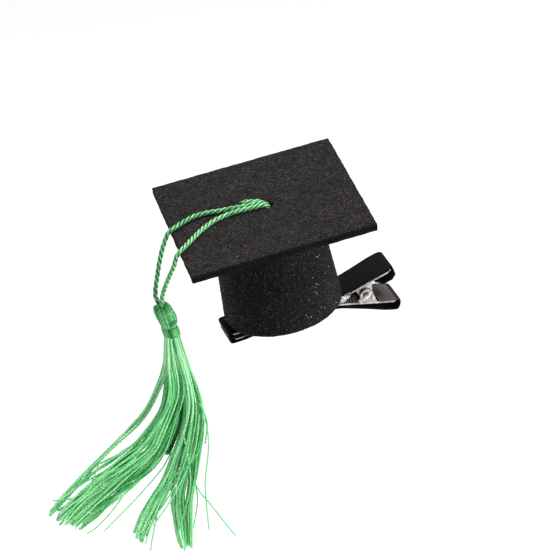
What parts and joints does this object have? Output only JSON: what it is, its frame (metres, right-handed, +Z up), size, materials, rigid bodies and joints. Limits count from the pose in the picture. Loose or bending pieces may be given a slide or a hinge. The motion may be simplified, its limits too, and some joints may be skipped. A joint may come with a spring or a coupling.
{
  "type": "graduation cap hair clip",
  "caption": "Miniature felt mortarboard on a ribbon-lined spring hair clip, with a floss tassel hanging from a looped cord.",
  "frame": {"origin": "middle of the closed jaws of the clip, where hair is gripped, as the cap is worn", "axes": "+X from the clip's tip to its handles and level, +Y away from the viewer, +Z up with the tassel hanging down"},
  "size_m": [0.1023, 0.0539, 0.1062],
  "materials": {
    "felt": "black glitter felt, matt with fine sparkle",
    "ribbon": "black grosgrain, soft sheen along its ribs",
    "steel": "nickel-plated, bright",
    "glue": "translucent hot-melt glue",
    "cord": "twisted rayon cord, silky",
    "floss": "rayon floss, silky highlights"
  },
  "bodies": {
    "cap": {"board_top_felt": "felt", "board_bottom_felt": "felt", "band_wall": "felt", "base_disc": "felt", "board_glue_ring": "glue", "base_glue_ring": "glue", "clip_glue_pad": "glue", "cord_knot": "cord", "cord_leg_left": "cord", "cord_leg_right": "cord", "clip_upper_arm": "steel", "ribbon_upper": "ribbon", "pivot_pin": "steel", "torsion_spring": "steel"},
    "lower_arm": {"clip_lower_arm": "steel", "ribbon_lower": "ribbon"},
    "tassel": {"tassel_head": "floss", "tassel_neck_wrap": "floss", "skirt_left": "floss", "skirt_middle": "floss", "skirt_right": "floss", "skirt_wisp_left": "floss", "skirt_wisp_right": "floss"}
  },
  "joints": [
    {"name": "clip_open", "type": "hinge", "parent": "cap", "child": "lower_arm", "pos_m": [0.02201, 0, 0.00312], "axis": [0, -1, 0], "range_deg": [0, 35], "stiffness_Nm_per_rad": 0.02, "springref_deg": -28.65, "deforming": ["torsion_spring"]},
    {"name": "tassel_swing", "type": "hinge", "parent": "cap", "child": "tassel", "pos_m": [-0.0351, -0.0035, 0.009], "axis": [0, 1, 0], "range_deg": [-18, 40]}
  ]
}
